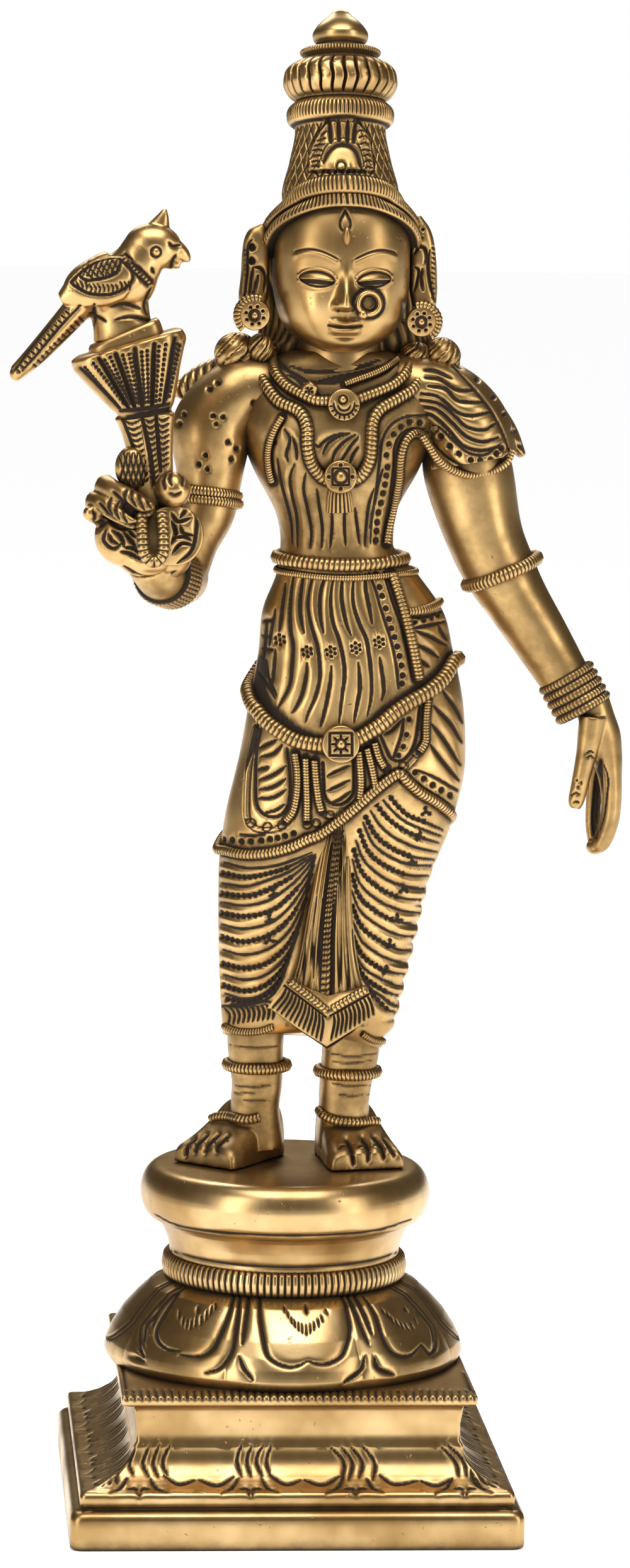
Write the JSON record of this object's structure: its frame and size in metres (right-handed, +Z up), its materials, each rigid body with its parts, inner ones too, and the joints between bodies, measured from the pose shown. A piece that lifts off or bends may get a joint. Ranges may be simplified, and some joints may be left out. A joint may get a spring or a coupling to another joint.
{
  "type": "parvati figure",
  "caption": "Cast brass standing goddess figure holding a parrot on a lotus, on a round lotus pedestal with a square stepped base.",
  "frame": {"origin": "middle of the square base's underside", "axes": "+Z up, -Y is the side that the figure faces, +X is her left, the side of the arm that hangs"},
  "size_m": [0.1366, 0.102, 0.3301],
  "materials": {
    "cast_brass": "hand-chased and polished, with dark brown patina left in the grooves",
    "plinth_brass": "polished, with dark brown patina left in the grooves and a fine cast texture low on the lotus"
  },
  "bodies": {
    "root": {"figure": "cast_brass", "plinth": "plinth_brass"}
  },
  "joints": []
}
